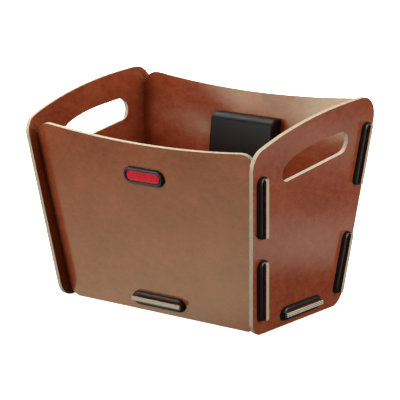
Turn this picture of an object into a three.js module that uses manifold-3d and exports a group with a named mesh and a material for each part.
// A bicycle's handlebar basket, built from five flat plywood panels.
// Tabs on the panels' edges pass through slots in their neighbours. A rubber ring, stretched over each tab
// into the notches behind its head, locks the joint, so the basket holds together without glue.
// Millimetres. +Z is up and +Y is the rear, where the basket hangs on its handlebar bracket.
// The origin is on the floor, under the middle of the basket's box.

import * as THREE from 'three';
import { mergeVertices } from 'three/addons/utils/BufferGeometryUtils.js';
import Module from 'manifold-3d';

const wasm = await Module();
wasm.setup();

// The box and its plywood
const ply = 5.3; // thickness of every panel
const insideLength = 300; // between the end panels' inner faces, on the floor
const insideDepth = 148.3; // between the front and rear panels' inner faces, on the floor
const endLean = THREE.MathUtils.degToRad(6.43); // outwards from upright
const frontLean = THREE.MathUtils.degToRad(8.75);
const rearLean = THREE.MathUtils.degToRad(7.66);
const floorHeight = 13.8; // from the ground to the bottom panel's underside
const fitGap = 0.3; // clearance wherever one piece seats on or passes through another

// The front and rear panels' outlines. Heights run up a panel's slope from the ground.
const frontCornerHeight = 236.6; // of the top corners, before they are rounded
const frontTopDip = 20; // the top edge's bend point lies this far below those corners
const rearCornerHeight = 268.5;
const rearTopDip = 19.9;
const panelTopRadius = 20;
const panelFootRadius = 22;

// The end panels' outline
const endFrontTopOverhang = 14.3; // past the front panel's outer face
const endFrontFootOverhang = 15.6;
const endRearOverhang = 12.4; // past the rear panel's outer face
const endFrontDrop = 2.1; // of the front top corner below the front panel's, before both are rounded
const endRearRise = 4.1; // of the rear top corner above the rear panel's
const endBend = { back: 25.2, drop: 2.4 }; // the top edge's bend point: ahead of the middle, below the rear corner
const endFrontTopRadius = 23;
const endRearTopRadius = 29.5;
const endFrontFootRadius = 22;
const endRearFootRadius = 24;

// The hand holes, in a frame that starts at the lower front corner and runs along the sloping lower edge
const gripStart = { back: 67.9, drop: 83 }; // ahead of the middle, below the panel's rear top corner
const gripSlope = THREE.MathUtils.degToRad(7.4);
const gripLength = 137.5;
const gripFrontRise = 19.2; // height of the front end, before its corners are rounded
const gripFrontShift = 6;
const gripRearRise = 27.4;
const gripRearShift = 6.4;
const gripBend = { along: 31.5, rise: 37.6 }; // the point that the upper edge bends towards
const gripFrontRadius = 10.8;
const gripRearRadius = 14.1;

// Tabs: a neck as long as the ring is high, notched at both ends, and a full-length head
const tabLength = 77.6;
const tabNotch = 4.5;
const tabHead = 3.2;
const tabCornerRadius = 1.2;
const frontTabs = { lower: 59.6, drop: 67.9 }; // the lower tab's height, and the upper's below the top corner
const rearTabs = { lower: 58.5, drop: 69.1 };
const bottomCornerRadius = 4;

// Rubber rings: a rounded bead all the way round the tab's neck
const ringBand = 6.4; // width of the bead
const ringHeight = 5.3;
const ringFoot = 1.4; // upright part of the bead's outer side
const ringShoulder = 3.8; // height of the bead where it meets the tab

// The badge on the front panel: a black bezel with a plain coloured label sunk into it
const badgeDrop = 52.6; // of its centre below the front panel's top corners
const badgeShift = 2; // to the left of the middle
const badgeLength = 63.6;
const badgeWidth = 22.6;
const badgeDepth = 4;
const badgeFoot = 1;
const badgeEdge = 3.4; // width of the rounded outer edge
const labelLength = 52;
const labelWidth = 13;
const labelThickness = 1;
const labelSink = 0.9; // the label's face lies this far below the bezel's
const glueLine = 0.3; // thickness of the adhesive film under the bezel and the label

// The adapter: a housing inside the rear panel and a rail plate outside it, clamped together by four screws
const housingWidth = 99;
const housingTall = 120;
const housingDepth = 19;
const housingDrop = 41.4; // of its upper edge below the rear panel's top corners
const housingShift = 3; // to the right of the middle, seen from the front
const housingWall = 2.6;
const housingBrow = 10; // radius of the rounded upper and lower front edges
const housingSideRadius = 3;
const housingInnerRadius = 0.4; // the least radius inside the housing
const bossRadius = 4.6;
const bossInset = 6.4; // from the housing's sides to the boss centres
const windowInset = 10; // from the housing's sides to the opening in the rear panel
const windowRadius = 12;
const plateMargin = 3; // the rail plate stands out past the housing's outline by this much
const plateThickness = 4;
const plateRadius = 9;
const railGap = 68; // between the rails, for the bracket's tongue
const railWidth = 6.5;
const railHeight = 11;
const lipReach = 6; // how far the lips lap over the tongue
const lipThickness = 3.2;
const railEndInset = 16; // from the plate's upper and lower edges to the rails' ends
const railCornerRadius = 6;

// The adapter's screws
const screwRadius = 2.4;
const screwHeadRadius = 4.6;
const screwHeadHeight = 2.8;
const screwBite = 11; // length inside the housing's boss
const socketAcross = 3; // across the hexagon socket's flats
const socketSides = 6;
const socketDepth = 1.6;
const screwTipShare = 1 / 3; // of the thread's radius, taken off at the tip

// How finely the curves are cut
const arcSteps = 9;
const bendSteps = 18;
const smallArcSteps = 3;
const ringTurns = 20;
const beadSteps = 9;
const screwTurns = 18;

const filletShare = 0.98; // the most of a side that the fillets at its two ends take
const overrun = 20; // how far a cutting block overruns what it cuts

const film = new THREE.MeshStandardMaterial({ color: 0x8a4f35, roughness: 0.35, metalness: 0 });
const rubber = new THREE.MeshStandardMaterial({ color: 0x1a1a1a, roughness: 0.5, metalness: 0 });
const blackPlastic = new THREE.MeshStandardMaterial({ color: 0x2b2c2b, roughness: 0.6, metalness: 0 });
const redEnamel = new THREE.MeshStandardMaterial({ color: 0xc01428, roughness: 0.3, metalness: 0 });
const zincSteel = new THREE.MeshStandardMaterial({ color: 0x8c8c8a, roughness: 0.4, metalness: 0.9 });

const basket = new THREE.Group();

function point(x, y) {
  return new THREE.Vector2(x, y);
}

// Solids, joins and cuts

function solidOf(geometry, matrix) {
  const bare = geometry.index ? geometry.toNonIndexed() : geometry.clone();
  bare.deleteAttribute('normal');
  bare.deleteAttribute('uv');
  if (matrix) bare.applyMatrix4(matrix);
  const merged = mergeVertices(bare);
  const mesh = new wasm.Mesh({
    numProp: 3,
    vertProperties: new Float32Array(merged.attributes.position.array),
    triVerts: new Uint32Array(merged.index.array),
  });
  return new wasm.Manifold(mesh);
}

function geometryOf(solid) {
  const mesh = solid.getMesh();
  const geometry = new THREE.BufferGeometry();
  geometry.setAttribute('position', new THREE.BufferAttribute(new Float32Array(mesh.vertProperties), 3));
  geometry.setIndex(new THREE.BufferAttribute(new Uint32Array(mesh.triVerts), 1));
  const faceted = geometry.toNonIndexed();
  faceted.computeVertexNormals();
  return faceted;
}

function join(...geometries) {
  return geometryOf(geometries.map((geometry) => solidOf(geometry)).reduce((all, one) => all.add(one)));
}

function meet(one, other) {
  return geometryOf(solidOf(one).intersect(solidOf(other)));
}

function carve(geometry, ...tools) {
  return geometryOf(tools.reduce((left, tool) => left.subtract(solidOf(tool)), solidOf(geometry)));
}

// Cuts a placed mesh with tools that stand anywhere else in the basket, then takes the tools away.
function cutInPlace(mesh, tools) {
  basket.updateMatrixWorld(true);
  const toMesh = mesh.matrixWorld.clone().invert();
  let solid = solidOf(mesh.geometry);
  for (const tool of tools) {
    solid = solid.subtract(solidOf(tool.geometry, toMesh.clone().multiply(tool.matrixWorld)));
  }
  tools.forEach((tool) => tool.removeFromParent());
  mesh.geometry = geometryOf(solid);
}

// Outlines

// Half the angle between a corner's two sides
function halfAngle(before, corner, after) {
  const back = before.clone().sub(corner).normalize();
  const onward = after.clone().sub(corner).normalize();
  return Math.acos(THREE.MathUtils.clamp(back.dot(onward), -1, 1)) / 2;
}

// The arc that rounds a corner off, between the points before and after it.
function roundedCorner(before, corner, after, radius, steps = arcSteps) {
  const back = before.clone().sub(corner).normalize();
  const onward = after.clone().sub(corner).normalize();
  const half = halfAngle(before, corner, after);
  const start = corner.clone().addScaledVector(back, radius / Math.tan(half));
  const middle = back.clone().add(onward).normalize().multiplyScalar(radius / Math.sin(half)).add(corner);
  const turn = -Math.sign(back.cross(onward)) * (Math.PI - 2 * half);
  const stops = Array.from({ length: steps + 1 }, (_, i) => i / steps);
  return stops.map((share) => start.clone().rotateAround(middle, turn * share));
}

// One arc for each corner of a closed outline. Two fillets too large for the side between them share it.
function roundedCorners(corners, radii, steps = arcSteps) {
  const previous = (i) => (i + corners.length - 1) % corners.length;
  const next = (i) => (i + 1) % corners.length;
  const around = corners.map((corner, i) => [corners[previous(i)], corner, corners[next(i)]]);
  const reaches = around.map((three, i) => radii[i] / Math.tan(halfAngle(...three)));
  const fits = corners.map((corner, i) => {
    const room = corner.distanceTo(corners[next(i)]) * filletShare;
    return Math.min(1, room / (reaches[i] + reaches[next(i)]));
  });
  return around.map((three, i) => {
    const radius = radii[i] * Math.min(fits[i], fits[previous(i)]);
    return roundedCorner(...three, radius, steps);
  });
}

// The inner points of a gentle bend from one point to another, drawn towards a third.
function bend(from, towards, to) {
  return new THREE.QuadraticBezierCurve(from, towards, to).getPoints(bendSteps).slice(1, -1);
}

function mirrored(points) {
  return points.map((p) => point(-p.x, p.y)).reverse();
}

function roundedBox(width, height, radius, steps = arcSteps) {
  const corners = [point(-width / 2, -height / 2), point(width / 2, -height / 2),
    point(width / 2, height / 2), point(-width / 2, height / 2)];
  return roundedCorners(corners, corners.map(() => radius), steps).flat();
}

function extrude(points, depth, holes = []) {
  const shape = new THREE.Shape(points);
  shape.holes = holes.map((hole) => new THREE.Path(hole));
  return new THREE.ExtrudeGeometry(shape, { depth, bevelEnabled: false });
}

// A panel lies with its outer face at Z = 0 and its thickness behind it.
function panelGeometry(points) {
  return extrude(points, ply).translate(0, 0, -ply);
}

// The walls

// A wall stands on the ground and leans outwards. Seen from outside, its local X runs to the right along the
// ground, Y runs up its slope and Z straight out. Its outer face lies at Z = 0.
function addWall(turn, lean, insideHalf) {
  const wall = new THREE.Group();
  const foot = insideHalf + ply / Math.cos(lean);
  wall.rotation.set(Math.PI / 2 + lean, 0, turn, 'ZXY');
  wall.position.set(Math.sin(turn) * foot, -Math.cos(turn) * foot, 0);
  wall.userData = { lean };
  basket.add(wall);
  return wall;
}

const frontWall = addWall(0, frontLean, insideDepth / 2);
const rightWall = addWall(Math.PI / 2, endLean, insideLength / 2);
const rearWall = addWall(Math.PI, rearLean, insideDepth / 2);
const leftWall = addWall(-Math.PI / 2, endLean, insideLength / 2);
const floorPlane = new THREE.Group();
floorPlane.position.z = floorHeight + ply;
basket.add(floorPlane);

function addPiece(parent, name, geometry, material) {
  const mesh = new THREE.Mesh(geometry, material);
  mesh.name = name;
  parent.add(mesh);
  return mesh;
}

// Tabs

// A tab that meets its neighbour at a slant needs a longer neck, because the neighbour's face crosses it aslant.
// The ring keeps the fit gap to that face and to the head.
function tabSizes(slant) {
  const nearFace = fitGap + ply / Math.cos(slant);
  const farFace = nearFace + ply * Math.tan(slant);
  const neckEnd = farFace + (ringHeight + 2 * fitGap) / Math.cos(slant);
  return { neckStart: nearFace, neckEnd, tip: neckEnd + tabHead };
}

// The tab's outline, from the edge that it stands on, with X outwards and Y along the edge.
function tabOutline(slant) {
  const { neckStart, neckEnd, tip } = tabSizes(slant);
  const full = tabLength / 2;
  const neck = full - tabNotch;
  const headEnd = [point(neckEnd, full), point(tip, full), point(tip, 0)];
  const headArc = roundedCorner(...headEnd, tabCornerRadius, smallArcSteps).reverse();
  const upper = [...headArc, point(neckEnd, full), point(neckEnd, neck), point(neckStart, neck),
    point(neckStart, full), point(0, full)];
  const lower = upper.map((p) => point(p.x, -p.y)).reverse();
  return [...lower, ...upper];
}

// Adds a tab's frame to a panel's own frame: X points out of the edge, Y along it, Z out of the panel's face.
// The frame sits in the middle of the panel's thickness.
function addTab(panelFrame, place, angle, slant, receiver) {
  const frame = new THREE.Group();
  frame.position.set(place.x, place.y, -ply / 2);
  frame.rotation.z = angle;
  frame.userData = { slant, receiver };
  panelFrame.add(frame);
  return frame;
}

function tabPoints(frame) {
  const { position, rotation, userData } = frame;
  return tabOutline(userData.slant).map((p) => p.rotateAround(point(0, 0), rotation.z).add(position));
}

// A block with the tab's section, grown by the fit gap, that cuts its way through a neighbour.
function tabCutter(frame, length) {
  const reach = tabSizes(frame.userData.slant).tip + overrun;
  const block = new THREE.BoxGeometry(reach * 2, length + 2 * fitGap, ply + 2 * fitGap);
  const mesh = new THREE.Mesh(block);
  frame.add(mesh);
  return mesh;
}

// A leaning wall is cut longer than its foot, which is then planed level.
function footAllowance(lean) {
  return ply * Math.tan(lean) + fitGap;
}

// The front and rear panels

// Half the front or rear panel's width, on its outer face, at a height up its slope.
function halfWidth(lean, height) {
  const level = height * Math.cos(lean);
  return insideLength / 2 + level * Math.tan(endLean) - fitGap / Math.cos(endLean);
}

function longPanel({ wall, cornerHeight, topDip, tabs, rightReceiver, leftReceiver }) {
  const { lean } = wall.userData;
  const footDrop = -footAllowance(lean);
  const sidePoint = (height) => point(halfWidth(lean, height), height);
  const foot = sidePoint(footDrop);
  const top = sidePoint(cornerHeight);
  const bendPoint = point(0, cornerHeight - topDip);
  const tilt = Math.atan2(top.x - foot.x, top.y - foot.y);
  const slant = Math.asin(Math.sin(lean) * Math.sin(endLean));
  const tabHeights = [tabs.lower, cornerHeight - tabs.drop];
  const rightTabs = tabHeights.map((height) =>
    addTab(wall, sidePoint(height), -tilt, slant, rightReceiver));
  const leftTabs = tabHeights.map((height) =>
    addTab(wall, point(-halfWidth(lean, height), height), Math.PI + tilt, slant, leftReceiver));
  const lowestTabEnd = sidePoint(tabHeights[0] - tabLength / 2);
  const highestTabEnd = sidePoint(tabHeights[1] + tabLength / 2);
  const [, footArc, , , topArc] = roundedCorners(
    [point(0, footDrop), foot, lowestTabEnd, highestTabEnd, top, bendPoint],
    [0, panelFootRadius, 0, 0, panelTopRadius, 0],
  );
  const side = [...footArc, ...rightTabs.flatMap(tabPoints), ...topArc];
  const otherSide = mirrored(side);
  const topEdge = bend(side.at(-1), bendPoint, otherSide[0]);
  const geometry = panelGeometry([...side, ...topEdge, ...otherSide]);
  return { geometry, rightTabs, leftTabs };
}

const frontParts = longPanel({
  wall: frontWall,
  cornerHeight: frontCornerHeight,
  topDip: frontTopDip,
  tabs: frontTabs,
  rightReceiver: rightWall,
  leftReceiver: leftWall,
});
const rearParts = longPanel({
  wall: rearWall,
  cornerHeight: rearCornerHeight,
  topDip: rearTopDip,
  tabs: rearTabs,
  rightReceiver: leftWall,
  leftReceiver: rightWall,
});
const frontPanel = addPiece(frontWall, 'front_panel', frontParts.geometry, film);
const rearPanel = addPiece(rearWall, 'rear_panel', rearParts.geometry, film);

// The end panels. Their outline runs from the front to the rear, and hand is 1 on the right and -1 on the left.

function endPanelGeometry(hand) {
  const footDrop = -footAllowance(endLean);
  function edgePoint(lean, overhang, height) {
    const level = height * Math.cos(endLean);
    return insideDepth / 2 + ply / Math.cos(lean) + overhang + level * Math.tan(lean);
  }
  const frontHeight = frontCornerHeight - endFrontDrop;
  const rearHeight = rearCornerHeight + endRearRise;
  const frontFoot = point(-edgePoint(frontLean, endFrontFootOverhang, footDrop), footDrop);
  const rearFoot = point(edgePoint(rearLean, endRearOverhang, footDrop), footDrop);
  const rearTop = point(edgePoint(rearLean, endRearOverhang, rearHeight), rearHeight);
  const frontTop = point(-edgePoint(frontLean, endFrontTopOverhang, frontHeight), frontHeight);
  const bendPoint = point(-endBend.back, rearHeight - endBend.drop);
  const [frontFootArc, rearFootArc, rearTopArc, , frontTopArc] = roundedCorners(
    [frontFoot, rearFoot, rearTop, bendPoint, frontTop],
    [endFrontFootRadius, endRearFootRadius, endRearTopRadius, 0, endFrontTopRadius],
  );
  const topEdge = bend(rearTopArc.at(-1), bendPoint, frontTopArc[0]);
  const outline = [...frontFootArc, ...rearFootArc, ...rearTopArc, ...topEdge, ...frontTopArc];
  const hole = gripOutline(point(-gripStart.back, rearHeight - gripStart.drop));
  const [panelPoints, holePoints] = hand > 0 ? [outline, hole] : [mirrored(outline), mirrored(hole)];
  const holeTool = extrude(holePoints, ply + 2 * overrun).translate(0, 0, -ply - overrun);
  return carve(panelGeometry(panelPoints), holeTool);
}

function gripOutline(start) {
  const frontLow = point(0, 0);
  const rearLow = point(gripLength, 0);
  const rearHigh = point(gripLength + gripRearShift, gripRearRise);
  const frontHigh = point(gripFrontShift, gripFrontRise);
  const bendPoint = point(gripBend.along, gripBend.rise);
  const [frontLowArc, rearLowArc, rearHighArc, , frontHighArc] = roundedCorners(
    [frontLow, rearLow, rearHigh, bendPoint, frontHigh],
    [gripFrontRadius, gripRearRadius, gripRearRadius, 0, gripFrontRadius],
  );
  const upperEdge = bend(rearHighArc.at(-1), bendPoint, frontHighArc[0]);
  const level = [...frontLowArc, ...rearLowArc, ...rearHighArc, ...upperEdge, ...frontHighArc];
  return level.map((p) => p.rotateAround(frontLow, gripSlope).add(start));
}

const rightPanel = addPiece(rightWall, 'right_end_panel', endPanelGeometry(1), film);
const leftPanel = addPiece(leftWall, 'left_end_panel', endPanelGeometry(-1), film);

// The bottom panel: a tab in the middle of each side, and its outline set by the walls at its underside

function wallLine(insideHalf, lean) {
  return insideHalf + floorHeight * Math.tan(lean) - fitGap / Math.cos(lean);
}

const bottomRight = wallLine(insideLength / 2, endLean);
const bottomFront = -wallLine(insideDepth / 2, frontLean);
const bottomRear = wallLine(insideDepth / 2, rearLean);
const bottomTabs = [
  addTab(floorPlane, point(0, bottomFront), -Math.PI / 2, frontLean, frontWall),
  addTab(floorPlane, point(bottomRight, 0), 0, endLean, rightWall),
  addTab(floorPlane, point(0, bottomRear), Math.PI / 2, rearLean, rearWall),
  addTab(floorPlane, point(-bottomRight, 0), Math.PI, endLean, leftWall),
];
const bottomCorners = [point(-bottomRight, bottomFront), point(bottomRight, bottomFront),
  point(bottomRight, bottomRear), point(-bottomRight, bottomRear)];
const bottomRadii = bottomCorners.map(() => bottomCornerRadius);
const bottomArcs = roundedCorners(bottomCorners, bottomRadii, smallArcSteps);
const bottomOutline = bottomArcs.flatMap((arc, i) => [...arc, ...tabPoints(bottomTabs[i])]);
addPiece(floorPlane, 'bottom_panel', panelGeometry(bottomOutline), film);

// Slots for the tabs, and feet planed level so that the basket stands flat

const ground = new THREE.Mesh(new THREE.BoxGeometry(insideLength * 2, insideLength * 2, overrun));
ground.position.z = -overrun / 2;
ground.updateMatrixWorld();
const allTabs = [...frontParts.rightTabs, ...frontParts.leftTabs, ...rearParts.rightTabs, ...rearParts.leftTabs,
  ...bottomTabs];
const walls = [[frontWall, frontPanel], [rightWall, rightPanel], [rearWall, rearPanel], [leftWall, leftPanel]];
for (const [wall, panel] of walls) {
  const slots = allTabs.filter((tab) => tab.userData.receiver === wall).map((tab) => tabCutter(tab, tabLength));
  cutInPlace(panel, [ground, ...slots]);
}

// The rubber rings

// A lathe ring, pulled apart along X until it is a long loop. The half step keeps every point off the middle.
function pulledRing(profile, stretch) {
  const geometry = new THREE.LatheGeometry(profile, ringTurns, Math.PI / ringTurns, Math.PI * 2);
  geometry.rotateX(Math.PI / 2);
  const places = geometry.attributes.position;
  for (let i = 0; i < places.count; i += 1) {
    places.setX(i, places.getX(i) + Math.sign(places.getX(i)) * stretch / 2);
  }
  return geometry;
}

// The ring's hole is cut afterwards to the neck and its gap, so the lathe's own hole is only as wide as the neck.
function ringGeometry(neckLength) {
  const hole = ply / 2;
  const inner = hole + fitGap;
  const outer = inner + ringBand;
  const bead = Array.from({ length: beadSteps + 1 }, (_, i) => {
    const angle = Math.PI * i / beadSteps;
    const foot = angle < Math.PI / 2 ? ringFoot : ringShoulder;
    return point((outer + inner + ringBand * Math.cos(angle)) / 2, foot + (ringHeight - foot) * Math.sin(angle));
  });
  const profile = [point(hole, 0), point(outer, 0), ...bead, point(hole, ringShoulder), point(hole, 0)];
  return pulledRing(profile, neckLength - ply);
}

// Seats a ring on its receiving wall's outer face, round the tab that comes out there.
function addRing(name, tab) {
  const { receiver } = tab.userData;
  basket.updateMatrixWorld(true);
  const toWall = receiver.matrixWorld.clone().invert().multiply(tab.matrixWorld);
  const centre = new THREE.Vector3().applyMatrix4(toWall);
  const outward = new THREE.Vector3(1, 0, 0).transformDirection(toWall);
  const along = new THREE.Vector3(0, 1, 0).transformDirection(toWall);
  centre.addScaledVector(outward, -centre.z / outward.z);
  const neckLength = tabLength - 2 * tabNotch;
  const ring = addPiece(receiver, name, ringGeometry(neckLength), rubber);
  ring.position.set(centre.x, centre.y, fitGap);
  ring.rotation.z = Math.atan2(along.y, along.x);
  cutInPlace(ring, [tabCutter(tab, neckLength)]);
}

const levels = ['lower', 'upper'];
levels.forEach((level, i) => {
  addRing(`ring_right_front_${level}`, frontParts.rightTabs[i]);
  addRing(`ring_left_front_${level}`, frontParts.leftTabs[i]);
  addRing(`ring_left_rear_${level}`, rearParts.rightTabs[i]);
  addRing(`ring_right_rear_${level}`, rearParts.leftTabs[i]);
});
['front', 'right', 'rear', 'left'].forEach((side, i) => addRing(`ring_${side}_bottom`, bottomTabs[i]));

// The badge

function pill(width, length, profile) {
  return pulledRing(profile, length - width);
}

function badgeBezel() {
  const outer = badgeWidth / 2;
  const rim = Array.from({ length: beadSteps }, (_, i) => {
    const angle = Math.PI / 2 * i / (beadSteps - 1);
    const rise = (badgeDepth - badgeFoot) * Math.sin(angle);
    return point(outer - badgeEdge * (1 - Math.cos(angle)), badgeFoot + rise);
  });
  const body = pill(badgeWidth, badgeLength, [point(0, 0), point(outer, 0), ...rim, point(0, badgeDepth)]);
  const pocketWidth = labelWidth + 2 * fitGap;
  const pocketFloor = badgeDepth - labelSink - labelThickness - glueLine;
  const pocketTop = badgeDepth + overrun;
  const pocket = pill(pocketWidth, labelLength + 2 * fitGap, [point(0, pocketFloor),
    point(pocketWidth / 2, pocketFloor), point(pocketWidth / 2, pocketTop), point(0, pocketTop)]);
  return carve(body, pocket);
}

function badgeLabel() {
  const half = labelWidth / 2;
  return pill(labelWidth, labelLength, [point(0, 0), point(half, 0), point(half, labelThickness),
    point(0, labelThickness)]);
}

const bezel = addPiece(frontWall, 'badge_bezel', badgeBezel(), rubber);
const badgeHeight = frontCornerHeight - badgeDrop;
bezel.position.set(-badgeShift, badgeHeight, glueLine);
const label = addPiece(frontWall, 'badge_label', badgeLabel(), redEnamel);
label.position.set(-badgeShift, badgeHeight, glueLine + badgeDepth - labelSink - labelThickness);

// The adapter. Its frame lies on the rear panel's outer face, at the housing's centre.

const adapter = new THREE.Group();
adapter.position.set(-housingShift, rearCornerHeight - housingDrop - housingTall / 2, 0);
rearWall.add(adapter);
const screwPlaces = [-1, 1].flatMap((side) => [-1, 1].map((level) =>
  point(side * (housingWidth / 2 - bossInset), level * (housingTall / 2 - bossInset))));

function disc(radius, from, to, place = point(0, 0), turns = screwTurns) {
  return new THREE.CylinderGeometry(radius, radius, to - from, turns)
    .rotateX(Math.PI / 2)
    .translate(place.x, place.y, (from + to) / 2);
}

// The housing's outer or inner body: its side view run across the width, met by its plan view run up the height.
// It stands out along Z from its open back at Z = 0, and the inner body overruns that back to open it.
function housingBody(inset) {
  const width = housingWidth - 2 * inset;
  const tall = housingTall - 2 * inset;
  const brow = Math.max(housingBrow - inset, housingInnerRadius);
  const side = Math.max(housingSideRadius - inset, housingInnerRadius);
  const back = -inset;
  const front = housingDepth - inset;
  const sideView = [
    point(back, -tall / 2),
    ...roundedCorner(point(back, -tall / 2), point(front, -tall / 2), point(front, 0), brow),
    ...roundedCorner(point(front, 0), point(front, tall / 2), point(back, tall / 2), brow),
    point(back, tall / 2),
  ];
  const plan = [
    point(-width / 2, back),
    point(width / 2, back),
    ...roundedCorner(point(width / 2, back), point(width / 2, front), point(0, front), side, smallArcSteps),
    ...roundedCorner(point(0, front), point(-width / 2, front), point(-width / 2, back), side, smallArcSteps),
  ];
  const across = extrude(sideView, width).translate(0, 0, -width / 2).rotateY(-Math.PI / 2);
  const upright = extrude(plan, tall).translate(0, 0, -tall / 2).rotateX(Math.PI / 2);
  return meet(across, upright);
}

function mountHousing() {
  const body = housingBody(0);
  const shell = carve(body, housingBody(housingWall));
  const bosses = screwPlaces.map((place) => meet(disc(bossRadius, 0, housingDepth, place), body));
  const holes = screwPlaces.map((place) => disc(screwRadius + fitGap, -overrun, screwBite + fitGap, place));
  return carve(join(shell, ...bosses), ...holes);
}

// A channel open at its lower end, drawn as an upside-down U whose inner sides leave the given clear width
function channelOutline(clearWidth) {
  const half = railGap / 2 + railWidth;
  const clear = clearWidth / 2;
  const end = (housingTall / 2 + plateMargin) - railEndInset;
  const ceiling = end - (half - clear);
  return [
    point(clear, -end),
    point(half, -end),
    ...roundedCorner(point(half, -end), point(half, end), point(-half, end), railCornerRadius),
    ...roundedCorner(point(half, end), point(-half, end), point(-half, -end), railCornerRadius),
    point(-half, -end),
    point(-clear, -end),
    point(-clear, ceiling),
    point(clear, ceiling),
  ];
}

// The rail plate. The bracket's tongue slides up into the channel, behind its lips. The window in the plate
// is as wide as the way between the lips.
function mountPlate() {
  const width = housingWidth + 2 * plateMargin;
  const tall = housingTall + 2 * plateMargin;
  const lipGap = railGap - 2 * lipReach;
  const window = roundedBox(lipGap, tall - 2 * (railEndInset + railWidth), railCornerRadius);
  const plate = extrude(roundedBox(width, tall, plateRadius), plateThickness, [window]);
  const rails = extrude(channelOutline(railGap), plateThickness + railHeight);
  const lips = extrude(channelOutline(lipGap), lipThickness)
    .translate(0, 0, plateThickness + railHeight - lipThickness);
  const holes = screwPlaces.map((place) => disc(screwRadius + fitGap, -overrun, overrun, place));
  return carve(join(plate, rails, lips), ...holes);
}

// A button-headed screw with a hexagon socket. Its head's underside lies at Z = 0.
function screwGeometry() {
  const length = fitGap + plateThickness + fitGap + ply + fitGap + screwBite;
  const tip = screwRadius * screwTipShare;
  const dome = Array.from({ length: beadSteps }, (_, i) => {
    const angle = Math.PI / 2 * i / (beadSteps - 1);
    return point(screwHeadRadius * Math.cos(angle), screwHeadHeight * Math.sin(angle));
  });
  const profile = [point(0, -length), point(screwRadius - tip, -length), point(screwRadius, tip - length),
    point(screwRadius, 0), ...dome.slice(0, -1), point(0, screwHeadHeight)];
  const body = new THREE.LatheGeometry(profile, screwTurns).rotateX(Math.PI / 2);
  const socketRadius = socketAcross / 2 / Math.cos(Math.PI / socketSides);
  const socketFloor = screwHeadHeight - socketDepth;
  return carve(body, disc(socketRadius, socketFloor, socketFloor + overrun, point(0, 0), socketSides));
}

const housing = addPiece(adapter, 'mount_housing', mountHousing(), blackPlastic);
housing.position.z = -ply - fitGap;
housing.rotation.y = Math.PI;
const plate = addPiece(adapter, 'mount_plate', mountPlate(), blackPlastic);
plate.position.z = fitGap;
const windowTool = new THREE.Mesh(extrude(
  roundedBox(housingWidth - 2 * windowInset, housingTall - 2 * windowInset, windowRadius), overrun * 2,
));
windowTool.position.z = -overrun;
const holeTools = screwPlaces.map((place) => new THREE.Mesh(disc(screwRadius + fitGap, -overrun, overrun, place)));
adapter.add(windowTool, ...holeTools);
cutInPlace(rearPanel, [windowTool, ...holeTools]);
screwPlaces.forEach((place) => {
  const side = place.x > 0 ? 'left' : 'right';
  const level = place.y > 0 ? 'upper' : 'lower';
  const screw = addPiece(adapter, `mount_screw_${level}_${side}`, screwGeometry(), zincSteel);
  screw.position.set(place.x, place.y, fitGap + plateThickness + fitGap);
});

// The middle of the basket's box comes over the origin.

const box = new THREE.Box3().setFromObject(basket, true);
basket.position.y = -(box.min.y + box.max.y) / 2;
basket.updateMatrixWorld(true);

export default basket;
